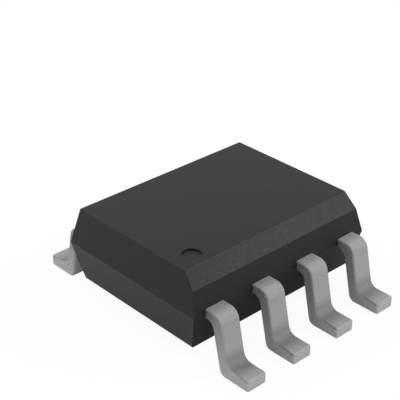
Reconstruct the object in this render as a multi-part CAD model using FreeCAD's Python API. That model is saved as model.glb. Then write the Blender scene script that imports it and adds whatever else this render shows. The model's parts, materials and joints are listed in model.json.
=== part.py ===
import FreeCAD, Part
import math
import os
from FreeCAD import Vector

# Small-outline semiconductor package with two rows of gull-wing leads.
# X runs along the rows, Y across the package and Z up. The origin is at the centre of
# the package, on the surface that the feet stand on. Lengths are in millimetres.
# Pins 1 to 4 are on the -Y side from -X to +X, pins 5 to 8 on the +Y side from +X to -X.

# Rows of leads
leads_per_row = 4
lead_pitch = 1.27
lead_span = 6.24                 # from toe to toe across the package
lead_width = 0.47
lead_thickness = 0.24            # of the sheet that leads and paddle are stamped from
foot_length = 0.77               # from the sharp corner of the heel to the toe
leg_lean = 12.3                  # degrees that the leg leans from upright
heel_radius = 0.17
instep_radius = 0.23
shoulder_inner_radius = 0.02

# Moulded body, sized at the parting line, where its two halves meet
end_margin = 0.545               # from the middle of a row's last lead to the end of the body
body_width = 3.90
standoff = 0.37                  # gap under the body
lower_height = 0.87
upper_height = 0.85
side_draft = 15.4                # degrees, on the two sides with leads
upper_end_draft = 8.8            # degrees, on the end faces above the parting line
lower_end_draft = 10.8           # degrees, on the end faces below it
edge_radius = 0.04
chamfer_run = 0.22               # along the top, on the pin-one side
chamfer_drop = 0.33              # down that side

# Round recess in the top that marks pin one
dimple_diameter = 0.41
dimple_depth = 0.06
dimple_from_end = 0.51           # from the end of the top face to the recess's centre
dimple_from_side = 0.55          # from the side of the top face, as it is without the chamfer

# Inner ends of the leads, cast into the body
frame_rise = 0.08                # top of the lead frame above the parting line
root_depth = 0.20                # how far in the bent part of a lead reaches
neck_depth = 0.35                # how far in a finger starts to widen
finger_width = 0.62
finger_gap = 0.20                # between the paddle's side and the fingers' tips
end_finger_width = 0.72          # on the first and last lead of a row
tie_bar_gap = 0.27               # between a tie bar and the tips of those two

# Paddle that carries the die, set lower than the leads and held by two tie bars
paddle_length = 2.40
paddle_width = 1.60
paddle_downset = 0.25
tie_bar_width = 0.36
tie_bar_shelf = 0.12             # flat length beside the paddle
tie_bar_ramp = 0.30              # length in which a tie bar then climbs back up
tie_bar_cover = 0.08             # moulding compound between a tie bar and the body's end

# Silicon die and the adhesive under it
die_length = 1.50
die_width = 1.20
die_thickness = 0.28
adhesive_thickness = 0.03
adhesive_margin = 0.06           # adhesive squeezed out around the die

# Bond wires, ball-bonded on the die and stitched to the fingers
wire_diameter = 0.04
stem_height = 0.14               # upright stretch of a wire above the die
crown_height = 0.20              # highest point of its centre line above the die
crown_reach = 0.06               # from the ball to that point, in plan
ball_diameter = 0.10
ball_height = 0.04
stitch_length = 0.12
stitch_width = 0.10              # at the flattened tail's wide end
stitch_height = 0.03
pad_inset = 0.12                 # from the die's edges to the middle of a ball
stitch_inset = 0.15              # from a finger's tip to the middle of its stitch


def lean_in(height, draft):
    """How far a face with that draft leans in over a height."""
    return height * math.tan(math.radians(draft))


# Heights and half sizes that follow from those
half_row = (leads_per_row - 1) * lead_pitch / 2
half_length = half_row + end_margin
half_width = body_width / 2
parting_z = standoff + lower_height
top_z = parting_z + upper_height
frame_top = parting_z + frame_rise
frame_bottom = frame_top - lead_thickness
paddle_top = frame_top - paddle_downset
paddle_bottom = paddle_top - lead_thickness
die_base = paddle_top + adhesive_thickness
die_top = die_base + die_thickness
root_y = half_width - root_depth
toe_y = lead_span / 2
heel_y = toe_y - foot_length
top_half_length = half_length - lean_in(upper_height, upper_end_draft)
top_half_width = half_width - lean_in(upper_height, side_draft)
bottom_half_length = half_length - lean_in(lower_height, lower_end_draft)
bottom_half_width = half_width - lean_in(lower_height, side_draft)


def outline_face(corners):
    """Flat face inside a closed outline of (point, radius) corners, rounded by tangent arcs."""
    spans = []
    for i, (point, radius) in enumerate(corners):
        if radius == 0:
            spans.append((point, point, point))
            continue
        back = (corners[i - 1][0] - point).normalize()
        ahead = (corners[(i + 1) % len(corners)][0] - point).normalize()
        half_angle = back.getAngle(ahead) / 2
        reach = radius / math.tan(half_angle)
        sagitta = radius / math.sin(half_angle) - radius
        middle = point + (back + ahead).normalize() * sagitta
        spans.append((point + back * reach, middle, point + ahead * reach))
    edges = []
    for i, (start, middle, end) in enumerate(spans):
        following = spans[(i + 1) % len(spans)][0]
        if corners[i][1] > 0:
            edges.append(Part.Arc(start, middle, end).toShape())
        if end.distanceToPoint(following) > Part.Precision.confusion():
            edges.append(Part.LineSegment(end, following).toShape())
    return Part.Face(Part.Wire(edges))


def sharp(points):
    """The points as corners with no rounding."""
    return [(point, 0) for point in points]


def centred_slab(length, width, z_low, z_high):
    """Rectangular block over the origin, between two heights."""
    corner = Vector(-length / 2, -width / 2, z_low)
    return Part.makeBox(length, width, z_high - z_low, corner)


def opposite(shape):
    """The same piece half a turn about Z, across the package."""
    turned = shape.copy()
    turned.rotate(Vector(0, 0, 0), Vector(0, 0, 1), 180)
    return turned


def outer_body():
    """The body from outside: its section across the package, run along X and cut to the drafted ends."""
    chamfer_top_y = chamfer_run - top_half_width
    chamfer_foot_y = lean_in(upper_height - chamfer_drop, side_draft) - half_width
    section = outline_face(sharp([
        Vector(-half_length, -bottom_half_width, standoff),
        Vector(-half_length, bottom_half_width, standoff),
        Vector(-half_length, half_width, parting_z),
        Vector(-half_length, top_half_width, top_z),
        Vector(-half_length, chamfer_top_y, top_z),
        Vector(-half_length, chamfer_foot_y, top_z - chamfer_drop),
        Vector(-half_length, -half_width, parting_z),
    ]))
    side_view = outline_face(sharp([
        Vector(-bottom_half_length, -half_width, standoff),
        Vector(bottom_half_length, -half_width, standoff),
        Vector(half_length, -half_width, parting_z),
        Vector(top_half_length, -half_width, top_z),
        Vector(-top_half_length, -half_width, top_z),
        Vector(-half_length, -half_width, parting_z),
    ]))
    bar = section.extrude(Vector(2 * half_length, 0, 0))
    return bar.common(side_view.extrude(Vector(0, body_width, 0)))


def softened(body):
    """The body with its edges rounded, apart from the crisp ones along the parting line."""
    rounded = [edge for edge in body.Edges if not math.isclose(edge.CenterOfMass.z, parting_z)]
    return body.makeFillet(edge_radius, rounded)


def pin_one_dimple():
    """The round recess, as the solid that is cut away for it."""
    floor = Vector(dimple_from_end - top_half_length, dimple_from_side - top_half_width, top_z - dimple_depth)
    return Part.makeCylinder(dimple_diameter / 2, 2 * dimple_depth, floor)


def row_places():
    """Places along X of the leads in a row, from -X to +X."""
    return [i * lead_pitch - half_row for i in range(leads_per_row)]


def is_end_lead(x):
    """Whether the lead at x is the first or the last of its row."""
    return abs(x) > half_row - lead_pitch / 2


def bent_strip(x):
    """The lead from its root inside the body to its toe, on the -Y side."""
    lean = math.radians(leg_lean)
    front_y = heel_y + lead_thickness / math.cos(lean)
    low_x = x - lead_width / 2
    side_view = outline_face([
        (Vector(low_x, -root_y, frame_top), 0),
        (Vector(low_x, lean_in(frame_top, leg_lean) - front_y, frame_top), shoulder_inner_radius + lead_thickness),
        (Vector(low_x, lean_in(lead_thickness, leg_lean) - front_y, lead_thickness), instep_radius),
        (Vector(low_x, -toe_y, lead_thickness), 0),
        (Vector(low_x, -toe_y, 0), 0),
        (Vector(low_x, -heel_y, 0), heel_radius),
        (Vector(low_x, lean_in(frame_bottom, leg_lean) - heel_y, frame_bottom), shoulder_inner_radius),
        (Vector(low_x, -root_y, frame_bottom), 0),
    ])
    return side_view.extrude(Vector(lead_width, 0, 0))


def finger_tip(x):
    """Middle of the tip edge of the finger on the lead at x, on the -Y side."""
    if is_end_lead(x):
        reach = abs(x) + (lead_width - end_finger_width) / 2
        return Vector(math.copysign(reach, x), -tie_bar_width / 2 - tie_bar_gap, frame_top)
    return Vector(x, -paddle_width / 2 - finger_gap, frame_top)


def finger(x):
    """The flat inner end of a lead, which widens towards the die so that the compound grips it."""
    tip = finger_tip(x)
    width = end_finger_width if is_end_lead(x) else finger_width
    neck_y = neck_depth - half_width
    flanks = []
    for side in (-1, 1):
        root_x = x + side * lead_width / 2
        head_x = tip.x + side * width / 2
        spread = abs(head_x - root_x)
        flanks.append([(root_x, -root_y), (root_x, neck_y), (head_x, neck_y + spread), (head_x, tip.y)])
    outline = flanks[0] + flanks[1][::-1]
    plan = outline_face(sharp([Vector(px, py, frame_bottom) for px, py in outline]))
    return plan.extrude(Vector(0, 0, lead_thickness))


def lead(x):
    """One whole lead of the -Y row."""
    return bent_strip(x).fuse(finger(x)).removeSplitter()


def tie_bar():
    """The tie bar at the +X end: a shelf beside the paddle, a ramp and a run to the body's end."""
    start = (paddle_length - tie_bar_width) / 2
    ramp_start = paddle_length / 2 + tie_bar_shelf
    ramp_end = ramp_start + tie_bar_ramp
    end = half_length - tie_bar_cover
    # The bends of the lower face sit further out, so that the bar keeps its thickness on the ramp
    setback = lead_thickness * math.tan(math.atan2(paddle_downset, tie_bar_ramp) / 2)
    top = [(start, paddle_top), (ramp_start, paddle_top), (ramp_end, frame_top), (end, frame_top)]
    bottom = [(end, frame_bottom), (ramp_end + setback, frame_bottom),
              (ramp_start + setback, paddle_bottom), (start, paddle_bottom)]
    side_view = outline_face(sharp([Vector(px, -tie_bar_width / 2, pz) for px, pz in top + bottom]))
    return side_view.extrude(Vector(0, tie_bar_width, 0))


def die_paddle():
    """The plate under the die with a tie bar at each end."""
    plate = centred_slab(paddle_length, paddle_width, paddle_bottom, paddle_top)
    bar = tie_bar()
    return plate.fuse([bar, opposite(bar)]).removeSplitter()


def die_adhesive():
    """The film of adhesive between paddle and die, squeezed out a little all round."""
    return centred_slab(die_length + 2 * adhesive_margin, die_width + 2 * adhesive_margin, paddle_top, die_base)


def silicon_die():
    """The sawn block of silicon."""
    return centred_slab(die_length, die_width, die_base, die_top)


def die_pad(x):
    """Where the wire to the lead at x is bonded on the die. The bonds are spread evenly along its side."""
    return Vector(x / half_row * (die_length / 2 - pad_inset), pad_inset - die_width / 2, die_top)


def stitch(middle, ahead):
    """The flattened tail of a wire, which spreads out in the direction ahead."""
    aside = Vector(-ahead.y, ahead.x, 0)
    near = middle - ahead * (stitch_length / 2)
    far = middle + ahead * (stitch_length / 2)
    plan = outline_face(sharp([
        near - aside * (wire_diameter / 2),
        near + aside * (wire_diameter / 2),
        far + aside * (stitch_width / 2),
        far - aside * (stitch_width / 2),
    ]))
    return plan.extrude(Vector(0, 0, stitch_height))


def bond_wire(x):
    """The gold wire from the die to the lead at x: a ball, a stem, a short crown, a long fall and a stitch."""
    up = Vector(0, 0, 1)
    bond = die_pad(x)
    middle = finger_tip(x) - Vector(0, stitch_inset, 0)
    ahead = Vector(middle.x - bond.x, middle.y - bond.y, 0).normalize()
    foot = bond + up * (ball_height / 2)
    route = Part.makePolygon([
        foot,
        bond + up * stem_height,
        bond + up * crown_height + ahead * crown_reach,
        middle + up * stitch_height,
    ])
    section = Part.Wire(Part.makeCircle(wire_diameter / 2, foot, up))
    mitred_joins = 1
    wire = route.makePipeShell([section], True, False, mitred_joins)
    ball = Part.makeCylinder(ball_diameter / 2, ball_height, bond)
    return wire.fuse([ball, stitch(middle, ahead)])


def mould_body(embedded):
    """The moulded body, with the room that the pieces cast into it take up."""
    return softened(outer_body()).cut([pin_one_dimple()] + embedded)


def both_rows(make):
    """The pieces of both rows in pin order, from a function that makes the one at a place along -Y."""
    near = [make(x) for x in row_places()]
    return near + [opposite(piece) for piece in near]


pieces = {
    "die_paddle": die_paddle(),
    "die_adhesive": die_adhesive(),
    "silicon_die": silicon_die(),
}
for kind, make in (("lead", lead), ("bond_wire", bond_wire)):
    for number, piece in enumerate(both_rows(make), 1):
        pieces[f"{kind}_{number}"] = piece
pieces["mould_body"] = mould_body(list(pieces.values()))

os.makedirs("parts", exist_ok=True)
for name, piece in pieces.items():
    piece.exportStep(f"parts/{name}.step")
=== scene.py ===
import json
import math
from types import SimpleNamespace
import bmesh
import bpy
from mathutils import Matrix, Vector

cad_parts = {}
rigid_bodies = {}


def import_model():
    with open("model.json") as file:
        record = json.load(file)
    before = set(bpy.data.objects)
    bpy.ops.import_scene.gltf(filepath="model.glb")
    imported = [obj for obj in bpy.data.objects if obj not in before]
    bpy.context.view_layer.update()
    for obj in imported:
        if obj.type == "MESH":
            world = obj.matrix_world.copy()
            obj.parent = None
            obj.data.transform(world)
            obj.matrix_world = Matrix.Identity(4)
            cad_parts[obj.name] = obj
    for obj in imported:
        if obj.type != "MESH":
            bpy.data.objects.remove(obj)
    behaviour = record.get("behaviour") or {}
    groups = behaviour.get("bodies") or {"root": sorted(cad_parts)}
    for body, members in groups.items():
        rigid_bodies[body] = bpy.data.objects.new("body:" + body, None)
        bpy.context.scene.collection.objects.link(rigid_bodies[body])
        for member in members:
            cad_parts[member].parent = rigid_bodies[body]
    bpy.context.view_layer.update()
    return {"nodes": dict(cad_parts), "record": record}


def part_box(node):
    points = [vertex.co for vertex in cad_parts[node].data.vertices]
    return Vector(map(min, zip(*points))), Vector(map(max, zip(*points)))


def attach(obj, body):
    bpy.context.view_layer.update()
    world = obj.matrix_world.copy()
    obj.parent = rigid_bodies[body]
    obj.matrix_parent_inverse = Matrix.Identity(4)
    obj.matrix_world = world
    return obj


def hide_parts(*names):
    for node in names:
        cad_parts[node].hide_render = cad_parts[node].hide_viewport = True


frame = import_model()

bl_info = {
    "name": "Small-outline chip",
    "version": (1, 0, 0),
    "blender": (4, 5, 0),
    "location": "3D View > Sidebar > Chip",
    "description": "Dresses a small-outline chip: moulded body, gull-wing leads, die and bond wires",
    "category": "Object",
}

# The chip is modelled in millimetres, where Blender's tools work best, and brought to metres
# when a piece is finished. The settings are in metres, as Blender shows them.
MM = 0.001
MERGE = 0.0001                   # millimetres within which two points are one
DECIMALS = 5                     # of the millimetres that a copy's points are rounded to
LEVEL = math.radians(0.2)        # within which two faces are one
LEADS_PER_ROW = 4


def float_setting(name, description, default, **kind):
    """Setting that is a number of some kind."""
    return bpy.props.FloatProperty(name=name, description=description, default=default, **kind)


def distance(name, description, default, lowest=0.0):
    """Setting that is a length, given in millimetres and kept in metres."""
    kind = {"min": lowest * MM, "precision": 6, "unit": "LENGTH", "subtype": "DISTANCE"}
    return float_setting(name, description, default * MM, **kind)


def angle(name, description, degrees):
    """Setting that is an angle, given in degrees and kept in radians."""
    return float_setting(name, description, math.radians(degrees), subtype="ANGLE", unit="ROTATION")


def share(name, description, default):
    """Setting that is a share from 0 to 1."""
    return float_setting(name, description, default, min=0.0, max=1.0, subtype="FACTOR")


def colour(name, description, default):
    """Setting that is a linear colour."""
    return bpy.props.FloatVectorProperty(
        name=name, description=description, default=default, size=3, min=0.0, max=1.0, subtype="COLOR",
    )


body_low, body_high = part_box("mould_body")
lead_low, lead_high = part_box("lead_1")
feet = {mount["name"]: Vector(mount["pos_m"]) for mount in frame["record"]["mounts"]}


class BodySettings(bpy.types.PropertyGroup):
    """Sizes and finish of the moulded body."""

    length: distance("Length", "Along the rows, at the parting line", (body_high.x - body_low.x) / MM)
    width: distance("Width", "Across the rows, at the parting line", (body_high.y - body_low.y) / MM)
    standoff: distance("Standoff", "Gap under the body", body_low.z / MM)
    top: distance("Top", "Height of the marked face", body_high.z / MM)
    parting: distance("Parting line", "Height at which the two halves meet", 1.24)
    side_draft: angle("Side draft", "Lean of the sides with leads", 15.4)
    upper_end_draft: angle("Upper end draft", "Lean of the end faces above the parting line", 8.8)
    lower_end_draft: angle("Lower end draft", "Lean of the end faces below the parting line", 10.8)
    chamfer_run: distance("Chamfer run", "Reach of the chamfer along the top", 0.22)
    chamfer_drop: distance("Chamfer drop", "Reach of the chamfer down the side", 0.33)
    edge_radius: distance("Edge radius", "Rounding of the edges", 0.02)
    parting_radius: distance("Parting radius", "Rounding of the crisp edge at the parting line", 0.012)
    dimple_diameter: distance("Recess diameter", "Of the round recess near pin one", 0.40)
    dimple_depth: distance("Recess depth", "Of the round recess near pin one", 0.042)
    dimple_from_end: distance("Recess from end", "From the top face's end to the recess's centre", 0.51)
    dimple_from_side: distance("Recess from side", "From the top face's full side to the centre", 0.55)
    rim_radius: distance("Recess rim radius", "Rounding of the recess's rim and floor", 0.005)
    tint: colour("Compound colour", "Of the moulding compound", (0.0185, 0.0185, 0.019))
    roughness: share("Compound roughness", "Of the eroded mould's print on the compound", 0.4)


class LeadSettings(bpy.types.PropertyGroup):
    """Sizes and finish of the leads and their fingers."""

    pitch: distance("Pitch", "Between two leads of a row", (feet["foot_2"].x - feet["foot_1"].x) / MM)
    toe: distance("Toe", "From the middle of the package to a toe", -lead_low.y / MM)
    frame_top: distance("Frame top", "Height of the lead frame's upper face", lead_high.z / MM + 0.012)
    width: distance("Width", "Of a lead", 0.50)
    thickness: distance("Thickness", "Of a lead with its plating, from the bend at the body on", 0.265)
    frame_thickness: distance("Frame thickness", "Of the bare sheet, where it leaves the body", 0.215)
    foot: distance("Foot length", "From the sharp corner of the heel to the toe", 0.77)
    lean: angle("Leg lean", "Of the leg from upright", 12.3)
    heel_radius: distance("Heel radius", "Of the bend's outside at the foot", 0.17)
    instep_radius: distance("Instep radius", "Of the bend's inside at the foot", 0.20)
    inner_radius: distance("Inner shoulder radius", "Of the bend's inside at the body", 0.18)
    outer_radius: distance("Outer shoulder radius", "Of the bend's outside at the body", 0.245)
    root: distance("Root depth", "Of the bent part inside the body", 0.20)
    neck: distance("Neck depth", "In the body, where a finger starts to widen", 0.35)
    finger_width: distance("Finger width", "Of the inner leads", 0.62)
    end_finger_width: distance("End finger width", "Of the first and last lead of a row", 0.72)
    finger_gap: distance("Finger gap", "From the paddle's side to the fingers' tips", 0.20)
    tie_bar_gap: distance("Tie bar gap", "From a tie bar to the end fingers' tips", 0.27)
    edge_radius: distance("Edge radius", "Of the stamped and plated edges", 0.045)
    tint: colour("Tin colour", "Of the matte tin plating", (0.325, 0.325, 0.325))
    metal: share("Tin metalness", "How much of the tin's shade is reflection", 0.4)
    roughness: share("Tin roughness", "Of the matte tin plating", 0.7)


class DieSettings(bpy.types.PropertyGroup):
    """Sizes and finish of the paddle, the die and its wires."""

    paddle_width: distance("Paddle width", "Across the package", 1.60)
    tie_bar_width: distance("Tie bar width", "Of the bars that hold the paddle", 0.36)
    copper: colour("Copper colour", "Of the bare copper alloy", (0.72, 0.40, 0.26))
    adhesive: colour("Adhesive colour", "Of the silver-filled adhesive", (0.55, 0.54, 0.50))
    silicon: colour("Silicon colour", "Of the polished silicon", (0.16, 0.17, 0.20))
    pad: distance("Pad size", "Side of a square bond pad", 0.115)
    pad_height: distance("Pad height", "Of a bond pad above the silicon", 0.002)
    pad_inset: distance("Pad inset", "From the die's edges to the middle of a pad", 0.12)
    gold: colour("Gold colour", "Of the bond wires", (0.95, 0.72, 0.30))
    wire: distance("Wire diameter", "Of the bond wires", 0.04)
    stem: distance("Stem height", "Upright stretch of a wire above the die", 0.14)
    crown: distance("Crown height", "Highest point of a wire's centre above the die", 0.20)
    crown_reach: distance("Crown reach", "From the ball to that point, in plan", 0.06)
    wire_bend: distance("Wire bend radius", "Of a wire's bends", 0.05)
    ball: distance("Ball diameter", "Of a bonded ball", 0.10)
    ball_height: distance("Ball height", "Of a bonded ball", 0.04)
    stitch_length: distance("Stitch length", "Of a wire's flattened tail", 0.12)
    stitch_width: distance("Stitch width", "Of the tail's wide end", 0.10)
    stitch_height: distance("Stitch height", "Of the tail above the finger", 0.03)
    stitch_inset: distance("Stitch inset", "From a finger's tip to the middle of its stitch", 0.15)


class StageSettings(bpy.types.PropertyGroup):
    """Camera, floor and light."""

    azimuth: angle("Azimuth", "Of the camera, from looking along +Y", -42.682)
    elevation: angle("Elevation", "Of the camera above the floor", 29.091)
    reach: distance("Distance", "From the camera to the point it looks at", 24.088)
    aim_height: distance("Aim height", "Of the point that the framing is set from", 1.0)
    aim_right: distance("Aim right", "Of the framed point, to the right in the picture", -0.376, -10.0)
    aim_up: distance("Aim up", "Of the framed point, upwards in the picture", 0.979, -10.0)
    lens: float_setting("Lens", "Focal length on a 36 mm wide sensor", 101.0, subtype="DISTANCE_CAMERA")
    ambient: share("Ambient light", "Light from all around", 0.5)
    floor_shade: share("Floor shade", "Share of the floor's brightness that a shadow can take away", 0.06)
    mirrored_shade: share("Mirrored shade", "The same share, as the package's gloss shows the floor", 0.9)


class ChipSettings(bpy.types.PropertyGroup):
    """All settings of the chip."""

    body: bpy.props.PointerProperty(type=BodySettings, name="Body", description="The moulded body")
    leads: bpy.props.PointerProperty(type=LeadSettings, name="Leads", description="The eight leads")
    die: bpy.props.PointerProperty(type=DieSettings, name="Die", description="The die and what joins it")
    stage: bpy.props.PointerProperty(type=StageSettings, name="Stage", description="Camera, floor and light")


# Node trees

def math_method(operation):
    """Method of an output that adds a Math node."""
    return lambda *operands: calc(operation, *operands)


class Output:
    """An output of a node. Sums with it add Math nodes to its tree, and a comparison gives 0 or 1."""

    def __init__(self, socket):
        self.socket = socket
        self.tree = socket.id_data

    def through(self, kind, inputs=None, output=0, **settings):
        """Result of a geometry node of that kind that this geometry goes through."""
        return result(self.tree, "GeometryNode" + kind, {0: self, **(inputs or {})}, output, **settings)

    __add__ = math_method("ADD")
    __sub__ = math_method("SUBTRACT")
    __mul__ = math_method("MULTIPLY")
    __truediv__ = math_method("DIVIDE")
    __gt__ = math_method("GREATER_THAN")
    __lt__ = math_method("LESS_THAN")
    __abs__ = math_method("ABSOLUTE")

    def __rsub__(self, other):
        return calc("SUBTRACT", other, self)

    def __neg__(self):
        return self * -1.0


def set_input(socket, value):
    """Gives a node's input a value, or links it to an output or to each of a list of outputs."""
    for part in value if isinstance(value, list) else [value]:
        if isinstance(part, Output):
            part.tree.links.new(part.socket, socket)
        else:
            socket.default_value = part


def add_node(tree, kind, inputs, **settings):
    """Adds a node with those settings and those inputs, by name or number."""
    node = tree.nodes.new(kind)
    for name, value in settings.items():
        setattr(node, name, value)
    for key, value in inputs.items():
        set_input(node.inputs[key], value)
    return node


def result(tree, kind, inputs=None, output=0, **settings):
    """One output, by name or number, of a new node."""
    return Output(add_node(tree, kind, inputs or {}, **settings).outputs[output])


def tree_of(values):
    """The tree of the outputs among some values."""
    return next(value.tree for value in values if isinstance(value, Output))


def calc(operation, *operands):
    """Result of a Math node."""
    return result(tree_of(operands), "ShaderNodeMath", dict(enumerate(operands)), operation=operation)


def vector_calc(operation, *operands, output="Vector"):
    """Result of a Vector Math node."""
    inputs = dict(enumerate(operands))
    return result(tree_of(operands), "ShaderNodeVectorMath", inputs, output, operation=operation)


def point(*parts):
    """Vector made of three numbers or outputs."""
    return result(tree_of(parts), "ShaderNodeCombineXYZ", dict(enumerate(parts)))


def axes(vector):
    """The three parts of a vector."""
    return [Output(socket) for socket in add_node(vector.tree, "ShaderNodeSeparateXYZ", {0: vector}).outputs]


def spread(value, low, high, from_low=0.3, from_high=0.7):
    """The value, from the span that noise has or another one, spread over a new span."""
    inputs = {"Value": value, "From Min": from_low, "From Max": from_high, "To Min": low, "To Max": high}
    return result(value.tree, "ShaderNodeMapRange", inputs)


def pick(index, data_type, choices):
    """The choice that the index names, for each point by itself."""
    node = add_node(index.tree, "GeometryNodeIndexSwitch", {}, data_type=data_type)
    while len(node.index_switch_items) < len(choices):
        node.index_switch_items.new()
    for socket, value in zip(node.inputs, [index, *choices]):
        set_input(socket, value)
    return Output(node.outputs[0])


def label(name):
    """What a tree's input is called, from its name in this script."""
    return name.replace("_", " ").title()


def new_tree(name, numbers, **others):
    """Geometry Nodes tree with an input for each number and for each other name of that socket type."""
    tree = bpy.data.node_groups.new(name, "GeometryNodeTree")
    tree.interface.new_socket(name="Geometry", in_out="OUTPUT", socket_type="NodeSocketGeometry")
    kinds = {**dict.fromkeys(numbers, "NodeSocketFloat"), **others}
    for key, kind in kinds.items():
        tree.interface.new_socket(name=label(key), in_out="INPUT", socket_type=kind)
    sockets = tree.nodes.new("NodeGroupInput").outputs
    return tree, SimpleNamespace(**{key: Output(sockets[label(key)]) for key in kinds})


def end_tree(geometry, material):
    """Ends a tree in smooth, real geometry with its material."""
    real = geometry.through("SetShadeSmooth").through("RealizeInstances")
    dressed = real.through("SetMaterial", {"Material": material})
    add_node(geometry.tree, "NodeGroupOutput", {0: dressed})


def joined(*parts):
    """Several geometries as one."""
    return result(parts[0].tree, "GeometryNodeJoinGeometry", {0: list(parts)})


def union(*solids):
    """Several solids made into one closed solid."""
    inputs = {"Mesh 2": list(solids)}
    return result(solids[0].tree, "GeometryNodeMeshBoolean", inputs, operation="UNION", solver="EXACT")


def merged(geometry):
    """The geometry with its doubled points made one."""
    return geometry.through("MergeByDistance", {"Distance": MERGE})


def placed(geometry, place):
    """The geometry with each point at a place that is worked out for it."""
    return geometry.through("SetPosition", {"Position": place})


def moved(geometry, step):
    """The whole geometry moved by a step."""
    return geometry.through("Transform", {"Translation": step})


def turned(geometry, half_turns):
    """The geometry turned about the package's upright axis."""
    return geometry.through("Transform", {"Rotation": point(0.0, 0.0, half_turns * math.pi)})


def without_faces(geometry, chosen):
    """The geometry without the chosen faces."""
    return geometry.through("DeleteGeometry", {"Selection": chosen}, domain="FACE", mode="ALL")


def filled_outline(corners, bend_steps):
    """Flat face inside a closed outline of (x, y, bend radius) corners, anticlockwise or clockwise."""
    tree = tree_of(corners[0])
    index = result(tree, "GeometryNodeInputIndex")
    ring = result(tree, "GeometryNodeMeshCircle", {"Vertices": len(corners)})
    ring = placed(ring, pick(index, "VECTOR", [point(x, y, 0.0) for x, y, radius in corners]))
    radii = {"Name": "bend_radius", "Value": pick(index, "FLOAT", [radius for x, y, radius in corners])}
    ring = ring.through("StoreNamedAttribute", radii, data_type="FLOAT", domain="POINT")
    radius = result(tree, "GeometryNodeInputNamedAttribute", {"Name": "bend_radius"}, data_type="FLOAT")
    bends = {"Count": bend_steps, "Radius": radius}
    rounded = ring.through("MeshToCurve").through("FilletCurve", bends, mode="POLY")
    return merged(rounded.through("FillCurve", mode="NGONS"))


def slab(face, depth):
    """Closed solid between a flat face and its copy at that height above it."""
    raised = face.through("ExtrudeMesh", {"Offset Scale": depth, "Individual": False}, "Mesh", mode="FACES")
    return merged(joined(raised, face.through("FlipFaces")))


# Meshes

def new_object(name, data=None):
    """An object in the scene that shows some data, or else an empty mesh."""
    item = bpy.data.objects.new(name, data or bpy.data.meshes.new(name))
    bpy.context.scene.collection.objects.link(item)
    return item


def apply_modifiers(piece):
    """Gives the piece the plain mesh that its modifiers make of it."""
    depsgraph = bpy.context.evaluated_depsgraph_get()
    evaluated = piece.evaluated_get(depsgraph)
    mesh = bpy.data.meshes.new_from_object(evaluated, preserve_all_data_layers=True, depsgraph=depsgraph)
    piece.modifiers.clear()
    old_mesh = piece.data
    piece.data = mesh
    bpy.data.meshes.remove(old_mesh)
    mesh.name = piece.name
    if not mesh.polygons:
        raise RuntimeError(f"{piece.name} came out empty")


def millimetres(settings, names):
    """Those settings by name, in millimetres."""
    return {name: getattr(settings, name) / MM for name in names}


def piece_from_tree(name, tree, values):
    """A plain mesh piece that the tree makes from the values of its inputs."""
    piece = new_object(name)
    modifier = piece.modifiers.new("shape", "NODES")
    modifier.node_group = tree
    labelled = {label(key): value for key, value in values.items()}
    for item in tree.interface.items_tree:
        if item.in_out == "INPUT":
            modifier[item.identifier] = labelled[item.name]
    apply_modifiers(piece)
    return piece


def soften(piece, width, segments, weights=False):
    """Rounds the piece's edges, either all sharp ones or those that carry a bevel weight."""
    bevel = piece.modifiers.new("rounded edges", "BEVEL")
    bevel.width = width
    bevel.segments = segments
    bevel.limit_method = "WEIGHT" if weights else "ANGLE"
    bevel.angle_limit = math.radians(31)
    bevel.use_clamp_overlap = False
    apply_modifiers(piece)


def even_shading(piece):
    """Shades flat faces flat and rounded edges smooth."""
    piece.data.shade_smooth()
    piece.modifiers.new("shading by face area", "WEIGHTED_NORMAL").weight = 100
    apply_modifiers(piece)


def cut_away(piece, cutter):
    """Cuts the space of a solid out of a piece, and removes that solid."""
    boolean = piece.modifiers.new("cut", "BOOLEAN")
    boolean.operation = "DIFFERENCE"
    boolean.solver = "EXACT"
    boolean.object = cutter
    apply_modifiers(piece)
    mesh = cutter.data
    bpy.data.objects.remove(cutter)
    bpy.data.meshes.remove(mesh)


def join_level_faces(mesh):
    """Makes one face of neighbours that lie in one plane."""
    bmesh.ops.dissolve_limit(
        mesh, angle_limit=LEVEL, verts=mesh.verts, edges=mesh.edges, use_dissolve_boundaries=False,
    )


def millimetre_copy(name, source):
    """A merged copy, in millimetres, of a piece or of a CAD node."""
    copy = new_object(name, source.data.copy())
    copy.data.transform(Matrix.Scale(1 / MM, 4))
    mesh = bmesh.new()
    mesh.from_mesh(copy.data)
    bmesh.ops.remove_doubles(mesh, verts=mesh.verts, dist=MERGE)
    for vertex in mesh.verts:
        vertex.co = [round(part, DECIMALS) for part in vertex.co]
    join_level_faces(mesh)
    mesh.to_mesh(copy.data)
    mesh.free()
    return copy


def finish_piece(piece, material, slot, *nodes):
    """Brings a piece to metres, gives it its material and puts it in the place of its CAD nodes."""
    piece.data.transform(Matrix.Scale(MM, 4))
    piece.data.materials.clear()
    piece.data.materials.append(material)
    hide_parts(*nodes)
    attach(piece, "root")


# Materials

def new_material(name):
    """A material with its shader and the object's own coordinates."""
    material = bpy.data.materials.new(name)
    material.use_nodes = True
    tree = material.node_tree
    return material, tree.nodes["Principled BSDF"], result(tree, "ShaderNodeTexCoord", output="Object")


def dress(shader, inputs):
    """Sets or links a shader's inputs by name."""
    for name, value in inputs.items():
        set_input(shader.inputs[name], value)


def stretched(coordinates, *scale):
    """Coordinates scaled by axis, for a pattern with a grain."""
    return result(coordinates.tree, "ShaderNodeMapping", {"Vector": coordinates, "Scale": scale})


def noise(coordinates, size, detail=2.0):
    """Noise whose features are about that many millimetres across."""
    inputs = {"Vector": coordinates, "Scale": 1 / (size * MM), "Detail": detail}
    return result(coordinates.tree, "ShaderNodeTexNoise", inputs, "Fac")


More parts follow.
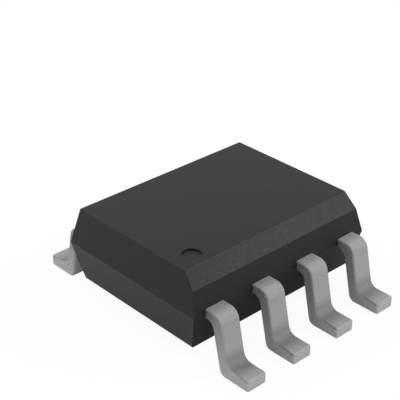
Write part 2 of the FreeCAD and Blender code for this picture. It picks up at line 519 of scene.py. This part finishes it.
def cells(coordinates, size, **settings):
    """A random number for each cell, about that many millimetres across."""
    inputs = {"Vector": coordinates, "Scale": 1 / (size * MM)}
    return axes(result(coordinates.tree, "ShaderNodeTexVoronoi", inputs, "Color", **settings))[0]


def blend(factor, first, second):
    """Mix of two colours or colour outputs."""
    return result(factor.tree, "ShaderNodeMix", {0: factor, 6: first, 7: second}, 2, data_type="RGBA")


def toned(tint, factor):
    """A colour made lighter or darker by a factor, as a shader takes it."""
    return (*(min(1.0, part * factor) for part in tint), 1.0)


def shades(factor, tint, first, second):
    """Mix of a colour at two tones."""
    return blend(factor, toned(tint, first), toned(tint, second))


def bumped(*layers):
    """Normal of a surface raised by (height, millimetres) layers, the coarsest first."""
    inputs = {}
    for height, depth in layers:
        inputs |= {"Height": height, "Distance": depth * MM}
        inputs["Normal"] = result(height.tree, "ShaderNodeBump", inputs)
    return inputs["Normal"]


def moulding_compound(settings):
    """Dark epoxy with fine filler, printed with the even grain of an eroded mould."""
    material, shader, coordinates = new_material("matte_compound")
    filler = noise(coordinates, 0.035, 3.0)
    clouds = noise(coordinates, 0.9)
    grain = noise(coordinates, 0.05, 4.0)
    mottled = shades(spread(filler, 0.0, 1.0), settings.tint, 0.93, 1.07)

    # Below the parting line the long sides have less gloss, as painted shade from the leads, and the ends a
    # little more, as a painted reflection
    upper_gloss, lower_end_gloss, lower_side_gloss = 0.11, 0.13, 0.05
    x, y, z = axes(coordinates)
    below = settings.parting - z
    across = calc("MULTIPLY_ADD", below, math.tan(settings.side_draft), abs(y))
    on_long_side = across > settings.width / 2 - 0.03 * MM
    painted_lower_gloss = spread(on_long_side, lower_end_gloss, lower_side_gloss, 0.0, 1.0)
    dress(shader, {
        "Base Color": blend(spread(clouds, 0.0, 0.12), mottled, toned(settings.tint, 1.25)),
        "Roughness": spread(grain, settings.roughness - 0.04, settings.roughness + 0.04),
        "Specular IOR Level": spread(below > 0.0, upper_gloss, painted_lower_gloss, 0.0, 1.0),
        "Normal": bumped((clouds, 0.0008), (grain, 0.0006)),
    })
    return material


def tin_plating(leads, body, copper):
    """Matte tin outside the body, with painted light and shade, and the bare copper that it was plated on
    inside.
    """
    material, shader, coordinates = new_material("matte_tin")
    grains = noise(coordinates, 0.05, 3.0)
    patches = noise(coordinates, 0.25)
    rolled = noise(stretched(coordinates, 1.0, 0.12, 0.12), 0.03)
    x, y, z = axes(coordinates)
    outwards = abs(y)
    half_pitch = leads.pitch / 2
    from_middle = half_pitch - calc("PINGPONG", x, half_pitch)
    from_toe = leads.toe - outwards
    body_side = body.width / 2

    # Painted light and shade: tin lighter low down, darker up towards the body, most of all on the stamped
    # sides
    # The sides also take a painted shadow next to the body, and the frame's upper face is brighter
    risen = spread(z, 0.0, 1.0, 0.0, leads.frame_top)
    on_frame = spread(z, 0.0, 1.0, leads.frame_top - 0.07 * MM, leads.frame_top - 0.01 * MM)
    body_shadow = spread(outwards, 1.0, 0.0, body_side - 0.01 * MM, body_side + 0.10 * MM)
    on_side = spread(from_middle, 0.0, 1.0, 0.45 * leads.width, 0.50 * leads.width)
    faces = blend(on_frame, shades(risen, leads.tint, 1.15, 0.77), toned(leads.tint, 0.97))
    sides = blend(body_shadow, shades(risen, leads.tint, 1.30, 0.30), toned(leads.tint, 0.12))

    # Painted shade darkens the hollow of the bend at the foot too, away from the sides
    hollow_y = leads.toe - leads.foot + 1.10 * leads.thickness
    from_bend = vector_calc(
        "LENGTH", point(0.0, outwards - hollow_y, z - 1.2 * leads.thickness), output="Value")
    off_side = spread(from_middle, 1.0, 0.0, 0.42 * leads.width, 0.50 * leads.width)
    hollow_shade = spread(from_bend, 1.0, 0.0, 0.05 * MM, 0.34 * MM) * off_side

    # A thin line of painted shade crosses each upper edge of the foot, from the top near the bend to the side
    # near the toe
    from_edge = (z - leads.thickness) - (from_middle - leads.width / 2)
    from_shade_line = abs(from_edge - (from_toe * 0.18 - 0.035 * MM))
    off_toe = spread(from_toe, 0.0, 1.0, 0.02 * MM, 0.05 * MM)
    on_foot = spread(from_toe, 1.0, 0.0, 0.42 * MM, 0.54 * MM) * off_toe
    shade_line = spread(from_shade_line, 1.0, 0.0, 0.008 * MM, 0.025 * MM) * (on_foot * (z > leads.thickness / 2))

    # Painted light makes the cut end of the toe the brightest part
    below_rim = spread(z, 1.0, 0.0, leads.thickness - 0.06 * MM, leads.thickness - 0.02 * MM)
    toe_end_light = (1.0 - off_toe) * below_rim
    tin = blend(on_side, faces, sides)
    # Random patches and grains, then painted shade in the hollow and along the line, and painted light on the
    # toe's end
    for where, tone in (
        (spread(patches, 0.0, 0.3), 0.85), (spread(grains, 0.0, 0.6), 1.12),
        (hollow_shade, 0.62), (shade_line, 0.55), (toe_end_light, 1.2),
    ):
        tin = blend(where, tin, toned(leads.tint, tone))
    bare = shades(spread(rolled, 0.0, 1.0), copper, 0.9, 1.05)
    dress(shader, {
        "Base Color": blend(outwards > body_side - 0.06 * MM, bare, tin),
        "Roughness": spread(grains, leads.roughness - 0.05, leads.roughness + 0.05),
        "Metallic": leads.metal,
        "Normal": bumped((patches, 0.0008), (rolled, 0.0003), (grains, 0.0003)),
    })
    return material


def bare_copper(settings):
    """Rolled copper alloy, with the rolling lines along the package."""
    material, shader, coordinates = new_material("rolled_copper")
    rolled = noise(stretched(coordinates, 0.05, 1.0, 1.0), 0.012, 3.0)
    tarnish = noise(coordinates, 0.4, 3.0)
    tarnished = (0.48, 0.24, 0.16, 1.0)
    bright = shades(spread(rolled, 0.0, 1.0), settings.copper, 0.92, 1.06)
    dress(shader, {
        "Base Color": blend(spread(tarnish, 0.0, 0.35), bright, tarnished),
        "Roughness": spread(tarnish, 0.28, 0.42),
        "Metallic": 1.0,
        "Normal": bumped((rolled, 0.0004)),
    })
    return material


def silver_adhesive(settings):
    """Cured adhesive full of silver flakes."""
    material, shader, coordinates = new_material("silver_adhesive")
    flake = cells(coordinates, 0.012)
    dress(shader, {
        "Base Color": shades(flake, settings.adhesive, 0.75, 1.2),
        "Roughness": spread(flake, 0.35, 0.65, 0.0, 1.0),
        "Metallic": spread(flake, 0.2, 0.8, 0.0, 1.0),
        "Normal": bumped((flake, 0.0005)),
    })
    return material


def polished_silicon(settings, top):
    """Silicon with a glossy worked face, aluminium pads above it and dull sawn sides."""
    material, shader, coordinates = new_material("polished_silicon")
    circuit_violet = (0.20, 0.17, 0.27, 1.0)
    aluminium = (0.78, 0.78, 0.77, 1.0)
    x, y, z = axes(coordinates)
    on_face = z > top - 0.004 * MM
    on_pad = z > top + 0.0008 * MM
    circuits = blend(
        cells(coordinates, 0.09, distance="CHEBYCHEV"), toned(settings.silicon, 0.7), circuit_violet)
    saw_marks = noise(stretched(coordinates, 1.0, 1.0, 6.0), 0.03, 3.0)
    sawn = shades(spread(saw_marks, 0.0, 1.0), settings.silicon, 0.8, 1.3)
    dress(shader, {
        "Base Color": blend(on_face, sawn, blend(on_pad, circuits, aluminium)),
        "Roughness": spread(on_face, 0.55, 0.14, 0.0, 1.0),
        "Metallic": 0.6,
        "Normal": bumped((saw_marks * (1.0 - on_face), 0.001)),
    })
    return material


def drawn_gold(settings):
    """Gold wire with the faint marks of the drawing die."""
    material, shader, coordinates = new_material("drawn_gold")
    marks = noise(coordinates, 0.01, 3.0)
    dress(shader, {
        "Base Color": shades(spread(marks, 0.0, 1.0), settings.gold, 0.9, 1.04),
        "Roughness": spread(marks, 0.16, 0.3),
        "Metallic": 1.0,
        "Normal": bumped((marks, 0.0002)),
    })
    return material


# Leads

LEAD_SIZES = (
    "width", "thickness", "frame_thickness", "toe", "foot",
    "heel_radius", "instep_radius", "inner_radius", "outer_radius", "frame_top",
)
LEAD_NUMBERS = range(1, 2 * LEADS_PER_ROW + 1)
BEND_STEPS = 10


def lead_tree(material):
    """Tree that makes one lead: its bent strip outside the body and its flat finger inside."""
    tree, given = new_tree("gull_wing_lead", (
        *LEAD_SIZES, "place", "root", "neck", "finger_left", "finger_right", "finger_tip", "lean",
    ), half_turns="NodeSocketInt", bend_steps="NodeSocketInt")

    # Side view of the strip, x outwards from the middle of the package and y up
    slope = calc("TANGENT", given.lean)
    heel = given.toe - given.foot
    front = heel + given.thickness / calc("COSINE", given.lean)
    frame_bottom = given.frame_top - given.frame_thickness

    def leaned(start, height):
        """Where the leg's face that starts there on the floor is at a height."""
        return start - height * slope

    side_view = filled_outline([
        (given.root, given.frame_top, 0.0),
        (leaned(front, given.frame_top), given.frame_top, given.outer_radius),
        (leaned(front, given.thickness), given.thickness, given.instep_radius),
        (given.toe, given.thickness, 0.0),
        (given.toe, 0.0, 0.0),
        (heel, 0.0, given.heel_radius),
        (leaned(heel, frame_bottom), frame_bottom, given.inner_radius),
        (given.root, frame_bottom, 0.0),
    ], given.bend_steps)
    x, y, z = axes(result(tree, "GeometryNodeInputPosition"))
    half_width = given.width * 0.5
    left_flank = given.place - half_width
    right_flank = given.place + half_width
    strip = placed(slab(side_view, given.width), point(right_flank - z, -x, y))

    # Plan of the finger, which widens at 45 degrees past its neck
    flanks = []
    for root_x, head_x in ((left_flank, given.finger_left), (right_flank, given.finger_right)):
        flare = abs(head_x - root_x)
        flanks.append([
            (root_x, -given.root, 0.0),
            (root_x, -given.neck, 0.0),
            (head_x, flare - given.neck, 0.0),
            (head_x, -given.finger_tip, 0.0),
        ])
    plan = filled_outline(flanks[0] + flanks[1][::-1], 1)
    finger = placed(slab(plan, given.frame_thickness), point(x, y, z + frame_bottom))

    # The two meet at the root, where both lose their end face
    end_band = 10 * MERGE
    strip = without_faces(strip, -y < given.root + end_band)
    finger = without_faces(finger, -y > given.root - end_band)
    end_tree(turned(merged(joined(strip, finger)), given.half_turns), material)
    return tree


def row_place(number):
    """Whether a lead's row is the turned one, and its place along X before that turn, in millimetres."""
    foot = feet[f"foot_{number}"]
    is_turned = foot.y > 0
    return is_turned, (-foot.x if is_turned else foot.x) / MM


def half_row(leads):
    """From the middle of a row to its last lead, in millimetres."""
    return (LEADS_PER_ROW - 1) / 2 * leads.pitch / MM


def finger_span(leads, die, x):
    """Left side, right side and tip of a finger, the tip measured from the middle of the package."""
    if abs(x) < half_row(leads) - leads.pitch / MM / 2:
        half = leads.finger_width / MM / 2
        return x - half, x + half, (die.paddle_width / 2 + leads.finger_gap) / MM
    inner = abs(x) - (leads.end_finger_width - leads.width / 2) / MM
    outer = abs(x) + leads.width / MM / 2
    sides = sorted((math.copysign(inner, x), math.copysign(outer, x)))
    return *sides, (die.tie_bar_width / 2 + leads.tie_bar_gap) / MM


class CHIP_OT_leads(bpy.types.Operator):
    """Stamp and bend the eight gull-wing leads with their inner fingers"""

    bl_idname = "chip.leads"
    bl_label = "Gull-wing leads"
    bl_options = {"REGISTER", "UNDO"}

    def execute(self, context):
        chip = context.scene.chip
        leads = chip.leads
        material = tin_plating(leads, chip.body, chip.die.copper)
        tree = lead_tree(material)
        half_width = chip.body.width / 2
        for number in LEAD_NUMBERS:
            is_turned, x = row_place(number)
            left, right, tip = finger_span(leads, chip.die, x)
            lead = piece_from_tree(f"gull_wing_lead_{number}", tree, millimetres(leads, LEAD_SIZES) | {
                "place": x,
                "root": (half_width - leads.root) / MM,
                "neck": (half_width - leads.neck) / MM,
                "finger_left": left,
                "finger_right": right,
                "finger_tip": tip,
                "lean": leads.lean,
                "half_turns": int(is_turned),
                "bend_steps": BEND_STEPS,
            })
            soften(lead, leads.edge_radius / MM, segments=3)
            even_shading(lead)
            finish_piece(lead, material, "tin_plating", f"lead_{number}")
        return {"FINISHED"}


# Paddle, adhesive and die

STAMPED_ROUNDING = 0.012         # millimetres, on the paddle's stamped edges
CURED_ROUNDING = 0.014           # millimetres, on the edges of the adhesive


class CHIP_OT_paddle(bpy.types.Operator):
    """Finish the paddle and its tie bars with the rounded edges of stamped sheet"""

    bl_idname = "chip.paddle"
    bl_label = "Die paddle"
    bl_options = {"REGISTER", "UNDO"}

    def execute(self, context):
        paddle = millimetre_copy("paddle_with_tie_bars", frame["nodes"]["die_paddle"])
        soften(paddle, STAMPED_ROUNDING, segments=2)
        even_shading(paddle)
        finish_piece(paddle, bare_copper(context.scene.chip.die), "bare_copper", "die_paddle")
        return {"FINISHED"}


class CHIP_OT_adhesive(bpy.types.Operator):
    """Spread the adhesive under the die, with its edges drawn in as it cured"""

    bl_idname = "chip.adhesive"
    bl_label = "Die adhesive"
    bl_options = {"REGISTER", "UNDO"}

    def execute(self, context):
        film = millimetre_copy("adhesive_film", frame["nodes"]["die_adhesive"])
        soften(film, CURED_ROUNDING, segments=3)
        even_shading(film)
        finish_piece(film, silver_adhesive(context.scene.chip.die), "adhesive", "die_adhesive")
        return {"FINISHED"}


def die_tree(material):
    """Tree that makes the silicon block with a bond pad at each wire."""
    tree, given = new_tree(
        "silicon_die", ("middle_height", "pad_spacing", "pad_row_distance"),
        size="NodeSocketVector", pad_size="NodeSocketVector", pads_in_a_row="NodeSocketInt",
    )
    block = result(tree, "GeometryNodeMeshCube", {"Size": given.size})
    block = moved(block, point(0.0, 0.0, given.middle_height))
    grid = result(tree, "GeometryNodeMeshGrid", {
        "Size X": given.pad_spacing * (given.pads_in_a_row - 1.0),
        "Size Y": given.pad_row_distance,
        "Vertices X": given.pads_in_a_row,
        "Vertices Y": 2,
    })
    length, width, thickness = axes(given.size)
    pad = result(tree, "GeometryNodeMeshCube", {"Size": given.pad_size})
    pads = grid.through("InstanceOnPoints", {"Instance": pad}).through("RealizeInstances")
    pads = moved(pads, point(0.0, 0.0, given.middle_height + thickness * 0.5))
    end_tree(union(block, pads), material)
    return tree


class CHIP_OT_die(bpy.types.Operator):
    """Saw the silicon die and put a bond pad under each wire"""

    bl_idname = "chip.die"
    bl_label = "Silicon die"
    bl_options = {"REGISTER", "UNDO"}

    def execute(self, context):
        die = context.scene.chip.die
        low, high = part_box("silicon_die")
        material = polished_silicon(die, high.z)
        size = (high - low) / MM
        inset = die.pad_inset / MM
        block = piece_from_tree("silicon_die_block", die_tree(material), {
            "size": size,
            "middle_height": (high.z + low.z) / MM / 2,
            "pad_size": (die.pad / MM, die.pad / MM, 2 * die.pad_height / MM),
            "pad_spacing": (size.x - 2 * inset) / (LEADS_PER_ROW - 1),
            "pad_row_distance": size.y - 2 * inset,
            "pads_in_a_row": LEADS_PER_ROW,
        })
        block.data.shade_flat()
        finish_piece(block, material, "silicon", "silicon_die")
        return {"FINISHED"}


# Bond wires

WIRE_SIZES = (
    "wire", "stem", "crown", "crown_reach", "wire_bend", "ball", "ball_height",
    "stitch_length", "stitch_width", "stitch_height",
)


def wire_tree(material):
    """Tree that makes one bond wire: a ball, a stem, a crown, a long fall and a stitch."""
    tree, given = new_tree(
        "bond_wire", WIRE_SIZES,
        pad="NodeSocketVector", finger="NodeSocketVector", half_turns="NodeSocketInt",
    )
    run = vector_calc("SUBTRACT", given.finger, given.pad)
    ahead = vector_calc("NORMALIZE", vector_calc("MULTIPLY", run, (1.0, 1.0, 0.0)))
    aside = vector_calc("CROSS_PRODUCT", (0.0, 0.0, 1.0), ahead)

    def above(base, height):
        """A point straight above another."""
        return vector_calc("ADD", base, point(0.0, 0.0, height))

    def along(heading, reach):
        """A step in a direction."""
        return result(tree, "ShaderNodeVectorMath", {0: heading, "Scale": reach}, operation="SCALE")

    # The wire's centre line and its round section
    route = [
        above(given.pad, given.ball_height * 0.5),
        above(given.pad, given.stem),
        vector_calc("ADD", above(given.pad, given.crown), along(ahead, given.crown_reach)),
        above(given.finger, given.stitch_height),
    ]
    line = result(tree, "GeometryNodeMeshLine", {"Count": len(route)})
    line = placed(line, pick(result(tree, "GeometryNodeInputIndex"), "VECTOR", route))
    bends = {"Count": 6, "Radius": given.wire_bend, "Limit Radius": True}
    bent = line.through("MeshToCurve").through("FilletCurve", bends, mode="POLY")
    ring = result(tree, "GeometryNodeCurvePrimitiveCircle", {"Resolution": 12, "Radius": given.wire * 0.5})
    wire = bent.through("CurveToMesh", {"Profile Curve": ring, "Fill Caps": True})

    # The ball, squashed to a barrel by the bonding tool
    barrel = result(tree, "GeometryNodeMeshCylinder", {
        "Vertices": 24, "Side Segments": 6, "Radius": given.ball * 0.5, "Depth": given.ball_height})
    x, y, z = axes(result(tree, "GeometryNodeInputPosition"))
    level = z / given.ball_height
    bulge = calc("SQRT", 1.0 - level * level)
    ball = moved(placed(barrel, point(x * bulge, y * bulge, z)), route[0])

    # The stitch, pressed wide and thin towards its far end
    wedge = result(tree, "GeometryNodeMeshCube", {"Vertices X": 6, "Vertices Y": 5, "Vertices Z": 2})
    thinned, rounded_off = 0.35, 1.6
    progress = x + 0.5
    wide = spread(progress, given.wire, given.stitch_width, 0.0, 1.0)
    thick = spread(progress, given.stitch_height, given.stitch_height * thinned, 0.0, 1.0)
    crowned = 1.0 - y * y * rounded_off
    rise = (z + 0.5) * (thick * crowned)
    lengthwise = vector_calc("ADD", given.finger, along(ahead, x * given.stitch_length))
    wedge = placed(wedge, vector_calc("ADD", lengthwise, above(along(aside, y * wide), rise)))

    end_tree(turned(merged(union(wire, ball, wedge)), given.half_turns), material)
    return tree


class CHIP_OT_wires(bpy.types.Operator):
    """Bond a gold wire from the die to each finger"""

    bl_idname = "chip.wires"
    bl_label = "Bond wires"
    bl_options = {"REGISTER", "UNDO"}

    def execute(self, context):
        chip = context.scene.chip
        die = chip.die
        low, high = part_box("silicon_die")
        inset = die.pad_inset / MM
        material = drawn_gold(die)
        tree = wire_tree(material)
        for number in LEAD_NUMBERS:
            is_turned, x = row_place(number)
            left, right, tip = finger_span(chip.leads, die, x)
            pad_x = x / half_row(chip.leads) * (high.x / MM - inset)
            wire = piece_from_tree(f"gold_bond_wire_{number}", tree, millimetres(die, WIRE_SIZES) | {
                "pad": (pad_x, inset + low.y / MM, high.z / MM),
                "finger": ((left + right) / 2, -tip - die.stitch_inset / MM, chip.leads.frame_top / MM),
                "half_turns": int(is_turned),
            })
            even_shading(wire)
            finish_piece(wire, material, "gold_wire", f"bond_wire_{number}")
        return {"FINISHED"}


# Moulded body

EMBEDDED_PIECES = (
    "gull_wing_lead", "paddle_with_tie_bars", "adhesive_film", "silicon_die_block", "gold_bond_wire",
)
BODY_LEVELS = ("standoff", "parting", "chamfer_foot", "top")
RECESS_STEPS = 64                # round the recess
RIM_STEPS = 4                    # in each rounding of its rim and floor


def body_tree(material):
    """Tree that makes the body's sharp-edged block: four levels of one box, drafted and chamfered."""
    tree, given = new_tree("drafted_body", (
        *BODY_LEVELS, "half_length", "half_width",
        "side_draft", "upper_end_draft", "lower_end_draft", "chamfer_run",
    ))
    level_count = len(BODY_LEVELS)
    box = result(tree, "GeometryNodeMeshCube", {
        "Size": (2.0, 2.0, level_count - 1.0),
        "Vertices X": 2, "Vertices Y": 2, "Vertices Z": level_count,
    })
    x, y, z = axes(result(tree, "GeometryNodeInputPosition"))
    level = calc("ROUND", z + (level_count - 1) / 2)
    height = pick(level, "FLOAT", [getattr(given, name) for name in BODY_LEVELS])
    from_parting = abs(height - given.parting)
    lower_slope = calc("TANGENT", given.lower_end_draft)
    upper_slope = calc("TANGENT", given.upper_end_draft)
    end_slope = spread(height > given.parting, lower_slope, upper_slope, 0.0, 1.0)
    half_length = given.half_length - from_parting * end_slope
    half_width = given.half_width - from_parting * calc("TANGENT", given.side_draft)
    on_pin_one_top = (level > level_count - 1.5) * (y < 0.0)
    place = point(x * half_length, y * half_width + on_pin_one_top * given.chamfer_run, height)
    end_tree(placed(box, place), material)
    return tree


def weigh_edges(piece, parting_height, edge_radius, parting_radius):
    """Joins level faces, and marks each edge with how wide a bevel of its radius is at its angle."""
    mesh = bmesh.new()
    mesh.from_mesh(piece.data)
    join_level_faces(mesh)
    weights = mesh.edges.layers.float.new("bevel_weight_edge")
    for edge in mesh.edges:
        on_parting_line = all(abs(vertex.co.z - parting_height) < MERGE for vertex in edge.verts)
        radius = parting_radius if on_parting_line else edge_radius
        edge[weights] = math.tan(edge.calc_face_angle() / 2) * radius / (2 * edge_radius)
    mesh.to_mesh(piece.data)
    mesh.free()


def recess_cutter(body):
    """The solid that leaves the round recess, with a rounded rim above and a rounded floor edge."""
    radius = body.dimple_diameter / MM / 2
    rim = body.rim_radius / MM
    top = body.top / MM
    floor = top - body.dimple_depth / MM
    quarter = [math.radians(90 * i / RIM_STEPS) for i in range(RIM_STEPS + 1)]
    bend = [(rim * math.sin(turn), rim * math.cos(turn)) for turn in quarter]
    profile = [(radius - rim + sine, floor + rim - cosine) for sine, cosine in bend]
    profile += [(radius + rim - cosine, top - rim + sine) for sine, cosine in bend]
    profile.append((radius + rim, top + rim))
    turns = [math.tau * i / RECESS_STEPS for i in range(RECESS_STEPS)]
    mesh = bmesh.new()
    rings = []
    for reach, height in profile:
        places = [(reach * math.cos(turn), reach * math.sin(turn), height) for turn in turns]
        rings.append([mesh.verts.new(place) for place in places])
    for lower, upper in zip(rings, rings[1:]):
        for i in range(RECESS_STEPS):
            following = (i + 1) % RECESS_STEPS
            mesh.faces.new((lower[i], lower[following], upper[following], upper[i]))
    mesh.faces.new(rings[0][::-1])
    mesh.faces.new(rings[-1])
    cutter = new_object("recess_cutter")
    mesh.to_mesh(cutter.data)
    mesh.free()
    rise = (body.top - body.parting) / MM
    top_end = body.length / MM / 2 - rise * math.tan(body.upper_end_draft)
    top_side = body.width / MM / 2 - rise * math.tan(body.side_draft)
    place = Vector((body.dimple_from_end / MM - top_end, body.dimple_from_side / MM - top_side, 0.0))
    cutter.data.transform(Matrix.Translation(place))
    return cutter


class CHIP_OT_body(bpy.types.Operator):
    """Mould the body around the pieces that are already there"""

    bl_idname = "chip.body"
    bl_label = "Moulded body"
    bl_options = {"REGISTER", "UNDO"}

    def execute(self, context):
        body = context.scene.chip.body
        material = moulding_compound(body)
        embedded = [piece for piece in context.scene.objects if piece.name.startswith(EMBEDDED_PIECES)]
        sizes = millimetres(body, ("standoff", "parting", "top", "chamfer_run"))
        shell = piece_from_tree("moulded_body", body_tree(material), sizes | {
            "chamfer_foot": (body.top - body.chamfer_drop) / MM,
            "half_length": body.length / MM / 2,
            "half_width": body.width / MM / 2,
            "side_draft": body.side_draft,
            "upper_end_draft": body.upper_end_draft,
            "lower_end_draft": body.lower_end_draft,
        })
        weigh_edges(shell, body.parting / MM, body.edge_radius / MM, body.parting_radius / MM)
        soften(shell, 2 * body.edge_radius / MM, segments=5, weights=True)
        cut_away(shell, recess_cutter(body))
        for piece in embedded:
            cut_away(shell, millimetre_copy("room_for_piece", piece))
        even_shading(shell)
        finish_piece(shell, material, "moulding_compound", "mould_body")
        return {"FINISHED"}


# Stage

LAMP_REACH = 0.05                # metres from the package to each lamp

# Name, azimuth and elevation in degrees, side in metres, level of light at the package
LAMPS = (
    ("overhead_softbox", 180.0, 65.0, 0.05, 0.15),
    ("left_softbox", -150.0, 35.0, 0.05, 0.58),
    ("front_softbox", -30.0, 12.0, 0.06, 0.19),
    ("edge_softbox", 45.0, 33.0, 0.015, 0.38),
)


def direction(azimuth, elevation):
    """The way from the package to something at that azimuth and elevation."""
    return Vector((
        math.sin(azimuth) * math.cos(elevation),
        -math.cos(azimuth) * math.cos(elevation),
        math.sin(elevation),
    ))


def lamp(name, azimuth, elevation, size, level):
    """Square soft lamp that faces the package, at the given level of light there."""
    data = bpy.data.lights.new(name, "AREA")
    data.shape = "SQUARE"
    data.size = size
    data.energy = level * (math.pi * LAMP_REACH) ** 2
    away = direction(math.radians(azimuth), math.radians(elevation))
    softbox = new_object(name, data)
    softbox.location = away * LAMP_REACH
    softbox.rotation_euler = away.to_track_quat("Z", "Y").to_euler()


def seen_directly(tree):
    """1 for rays from the camera or from a glossy or clear surface, and 0 for light that spreads."""
    rays = add_node(tree, "ShaderNodeLightPath", {}).outputs
    camera, glossy, clear = (Output(rays[f"Is {kind} Ray"]) for kind in ("Camera", "Glossy", "Transmission"))
    return calc("MAXIMUM", camera, calc("MAXIMUM", glossy, clear))


def pale_floor(settings):
    """White floor that keeps a faint shadow, and that lights the package from below as paper would."""
    material = bpy.data.materials.new("pale_floor")
    material.use_nodes = True
    tree = material.node_tree
    tree.nodes.clear()
    from_camera = result(tree, "ShaderNodeLightPath", output="Is Camera Ray")
    deepest = spread(from_camera, settings.mirrored_shade, settings.floor_shade, 0.0, 1.0)
    away = vector_calc("LENGTH", result(tree, "ShaderNodeTexCoord", output="Object"), output="Value")
    fade_start, fade_end = 6 * MM, 20 * MM
    shaded = deepest * spread(away, 1.0, 0.0, fade_start, fade_end)
    glow = result(tree, "ShaderNodeEmission", {"Strength": 1.0 - shaded})
    shade = result(tree, "ShaderNodeCombineColor", {0: shaded, 1: shaded, 2: shaded})
    catching = result(tree, "ShaderNodeBsdfDiffuse", {"Color": shade})
    seen = result(tree, "ShaderNodeAddShader", {0: glow, 1: catching})
    paper = result(tree, "ShaderNodeBsdfDiffuse", {"Color": (0.9, 0.9, 0.9, 1.0)})
    surface = result(tree, "ShaderNodeMixShader", {0: seen_directly(tree), 1: paper, 2: seen})
    add_node(tree, "ShaderNodeOutputMaterial", {0: surface})
    return material


def white_world(settings):
    """World that is white where it is seen and gives an even light."""
    world = bpy.data.worlds.new("white_surroundings")
    world.use_nodes = True
    tree = world.node_tree
    dress(tree.nodes["Background"], {
        "Color": (1.0, 1.0, 1.0, 1.0),
        "Strength": spread(seen_directly(tree), settings.ambient, 1.0, 0.0, 1.0),
    })
    return world


class CHIP_OT_stage(bpy.types.Operator):
    """Set up the camera, the pale floor and the soft lamps"""

    bl_idname = "chip.stage"
    bl_label = "Stage"
    bl_options = {"REGISTER", "UNDO"}

    def execute(self, context):
        scene = context.scene
        stage = scene.chip.stage
        right = Vector((math.cos(stage.azimuth), math.sin(stage.azimuth), 0.0))
        back = direction(stage.azimuth, stage.elevation)
        up = back.cross(right)
        aim = Vector((0.0, 0.0, stage.aim_height)) + right * stage.aim_right + up * stage.aim_up
        data = bpy.data.cameras.new("camera")
        data.sensor_width = 36.0
        data.lens = stage.lens
        data.clip_start = stage.reach / 20
        data.clip_end = 1000 * stage.reach
        camera = new_object("camera", data)
        place = Matrix.Translation(aim + back * stage.reach)
        camera.matrix_world = place @ Matrix((right, up, back)).transposed().to_4x4()
        scene.camera = camera

        mesh = bmesh.new()
        bmesh.ops.create_grid(mesh, x_segments=1, y_segments=1, size=0.5)
        floor = new_object("floor")
        mesh.to_mesh(floor.data)
        mesh.free()
        floor.data.materials.append(pale_floor(stage))

        scene.world = white_world(stage)
        for values in LAMPS:
            lamp(*values)
        scene.view_settings.view_transform = "Standard"
        return {"FINISHED"}


class CHIP_PT_panel(bpy.types.Panel):
    """Buttons for the chip's pieces and the settings that they use"""

    bl_idname = "CHIP_PT_panel"
    bl_label = "Small-outline chip"
    bl_space_type = "VIEW_3D"
    bl_region_type = "UI"
    bl_category = "Chip"

    def draw(self, context):
        chip = context.scene.chip
        for operator, settings in PANEL_ROWS:
            self.layout.operator(operator.bl_idname)
            if settings:
                group = getattr(chip, settings)
                for name in group.bl_rna.properties.keys():
                    if name not in ("rna_type", "name"):
                        self.layout.prop(group, name)


PANEL_ROWS = (
    (CHIP_OT_leads, "leads"),
    (CHIP_OT_paddle, None),
    (CHIP_OT_adhesive, None),
    (CHIP_OT_die, "die"),
    (CHIP_OT_wires, None),
    (CHIP_OT_body, "body"),
    (CHIP_OT_stage, "stage"),
)
CLASSES = (
    BodySettings, LeadSettings, DieSettings, StageSettings, ChipSettings,
    *(operator for operator, settings in PANEL_ROWS), CHIP_PT_panel,
)


def register():
    """Adds the classes and the chip's settings to Blender."""
    for item in CLASSES:
        bpy.utils.register_class(item)
    bpy.types.Scene.chip = bpy.props.PointerProperty(
        type=ChipSettings, name="Chip", description="Settings of the small-outline chip")


def unregister():
    """Takes them out again."""
    del bpy.types.Scene.chip
    for item in reversed(CLASSES):
        bpy.utils.unregister_class(item)


def main():
    """Makes every piece and the stage."""
    register()
    bpy.ops.chip.leads()
    bpy.ops.chip.paddle()
    bpy.ops.chip.adhesive()
    bpy.ops.chip.die()
    bpy.ops.chip.wires()
    bpy.ops.chip.body()
    bpy.ops.chip.stage()


if __name__ == "__main__":
    main()
